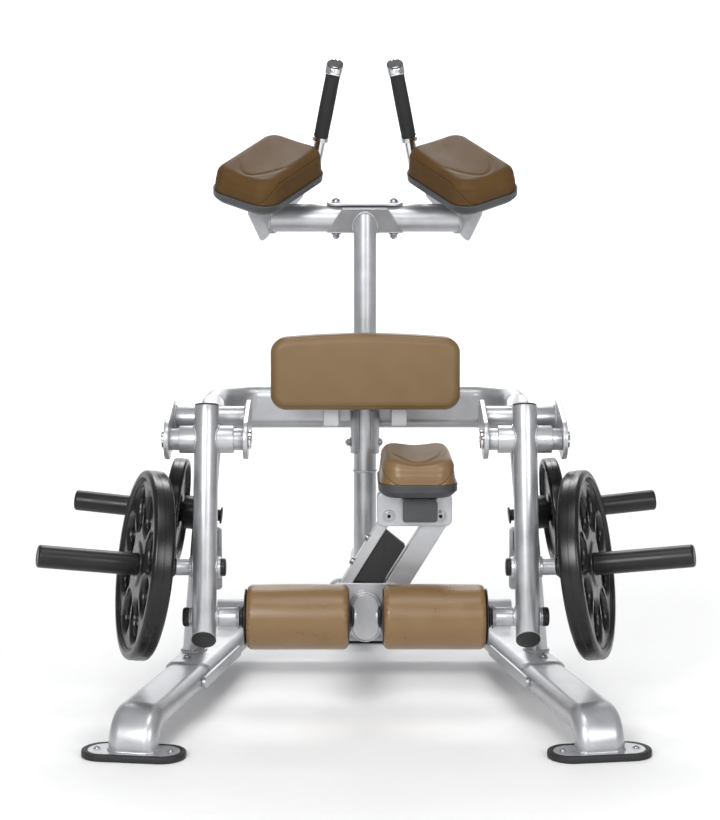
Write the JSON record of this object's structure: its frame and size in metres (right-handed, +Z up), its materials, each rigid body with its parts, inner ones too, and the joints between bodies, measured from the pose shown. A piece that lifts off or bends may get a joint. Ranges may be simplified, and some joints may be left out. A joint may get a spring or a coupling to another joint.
{
  "type": "kneeling leg curl machine",
  "caption": "Plate-loaded kneeling hamstring machine with two roller arms, swinging knee carriage, thigh pad, elbow pads and handles.",
  "frame": {"origin": "centre of the footprint box at floor level", "axes": "+Z up, +X to the right seen from the user side, +Y away from the user side"},
  "size_m": [1.349, 1.1156, 1.4079],
  "materials": {
    "silver": "silver metallic powder coat",
    "black_horn": "black satin powder coat",
    "plate_black": "glossy black enamel",
    "chrome": "bright plated",
    "rubber": "matt moulded rubber",
    "tray": "dark grey moulded tray",
    "vinyl": "brown upholstery vinyl"
  },
  "bodies": {
    "frame": {"leg_right": "silver", "leg_left": "silver", "saddle_bolt_right": "chrome", "saddle_bolt_left": "chrome", "foot_rubber_right": "rubber", "foot_rubber_left": "rubber", "rear_cross_beam": "silver", "spine_beam": "silver", "spine_end_cap": "silver", "rear_foot_rubber": "rubber", "mast": "silver", "side_post_right": "silver", "side_post_left": "silver", "stop_bumper_right": "rubber", "stop_bumper_left": "rubber", "storage_horn_right": "black_horn", "storage_horn_left": "black_horn", "yoke_beam": "silver", "yoke_bolt": "chrome", "elbow_pad_right": "vinyl", "elbow_pad_left": "vinyl", "elbow_tray_right": "tray", "elbow_tray_left": "tray", "crossbar": "silver", "clamp_plate": "silver", "clamp_bolt_right": "chrome", "clamp_bolt_left": "chrome", "handle_tube_right": "chrome", "handle_tube_left": "chrome", "handle_grip_right": "rubber", "handle_grip_left": "rubber", "handle_cap_right": "chrome", "handle_cap_left": "chrome", "thigh_pad": "vinyl", "thigh_pad_board": "silver", "knee_base": "silver", "pivot_shaft_right": "chrome", "pivot_shaft_left": "chrome"},
    "arm_left_assembly": {"arm_left": "silver", "arm_end_plug_left": "rubber", "roller_shaft_left": "silver", "load_horn_left": "black_horn"},
    "roller_left_assembly": {"roller_core_left": "black_horn", "roller_pad_left": "vinyl"},
    "load_plate_left_assembly": {"load_plate_left": "plate_black"},
    "storage_plate_left_assembly": {"storage_plate_left": "plate_black"},
    "arm_right_assembly": {"arm_right": "silver", "arm_end_plug_right": "rubber", "roller_shaft_right": "silver", "load_horn_right": "black_horn"},
    "roller_right_assembly": {"roller_core_right": "black_horn", "roller_pad_right": "vinyl"},
    "load_plate_right_assembly": {"load_plate_right": "plate_black"},
    "storage_plate_right_assembly": {"storage_plate_right": "plate_black"},
    "knee_link_left_assembly": {"knee_link_left": "silver", "knee_bumper": "rubber"},
    "knee_link_right_assembly": {"knee_link_right": "silver"},
    "knee_carriage_assembly": {"knee_carriage": "silver", "knee_tray": "tray", "knee_pad": "vinyl"}
  },
  "joints": [
    {"name": "arm_swing_left", "type": "hinge", "parent": "frame", "child": "arm_left_assembly", "pos_m": [-0.3345, -0.20019, 0.585], "axis": [-1, 0, 0], "range_deg": [0, 115]},
    {"name": "roller_spin_left", "type": "hinge", "parent": "arm_left_assembly", "child": "roller_left_assembly", "pos_m": [-0.141, -0.28005, 0.22475], "axis": [1, 0, 0], "continuous": true},
    {"name": "load_plate_slide_left", "type": "slide", "parent": "arm_left_assembly", "child": "load_plate_left_assembly", "axis": [-0.947, -0.2895, 0.1392], "range_m": [0, 0.25]},
    {"name": "storage_plate_slide_left", "type": "slide", "parent": "frame", "child": "storage_plate_left_assembly", "axis": [-0.9943, 0.0209, 0.1045], "range_m": [0, 0.02]},
    {"name": "arm_swing_right", "type": "hinge", "parent": "frame", "child": "arm_right_assembly", "pos_m": [0.3345, -0.20019, 0.585], "axis": [-1, 0, 0], "range_deg": [0, 115]},
    {"name": "roller_spin_right", "type": "hinge", "parent": "arm_right_assembly", "child": "roller_right_assembly", "pos_m": [0.141, -0.28005, 0.22475], "axis": [1, 0, 0], "continuous": true},
    {"name": "load_plate_slide_right", "type": "slide", "parent": "arm_right_assembly", "child": "load_plate_right_assembly", "axis": [0.947, -0.2895, 0.1392], "range_m": [0, 0.25]},
    {"name": "storage_plate_slide_right", "type": "slide", "parent": "frame", "child": "storage_plate_right_assembly", "axis": [0.9943, 0.0209, 0.1045], "range_m": [0, 0.02]},
    {"name": "knee_link_left_swing", "type": "hinge", "parent": "frame", "child": "knee_link_left_assembly", "pos_m": [-0.055, -0.13019, 0.245], "axis": [0, -1, 0], "range_deg": [0, 63.4]},
    {"name": "knee_link_right_swing", "type": "hinge", "parent": "frame", "child": "knee_link_right_assembly", "pos_m": [0.055, -0.13019, 0.245], "axis": [0, -1, 0], "range_deg": [0, 63.4]},
    {"name": "knee_carriage_level", "type": "hinge", "parent": "knee_link_left_assembly", "child": "knee_carriage_assembly", "pos_m": [0.05, -0.13019, 0.415], "axis": [0, -1, 0], "range_deg": [-63.4, 0]}
  ],
  "couplings": [
    {"joint": "knee_link_right_swing", "follows": "knee_link_left_swing", "ratio": 1},
    {"joint": "knee_carriage_level", "follows": "knee_link_left_swing", "ratio": -1}
  ]
}
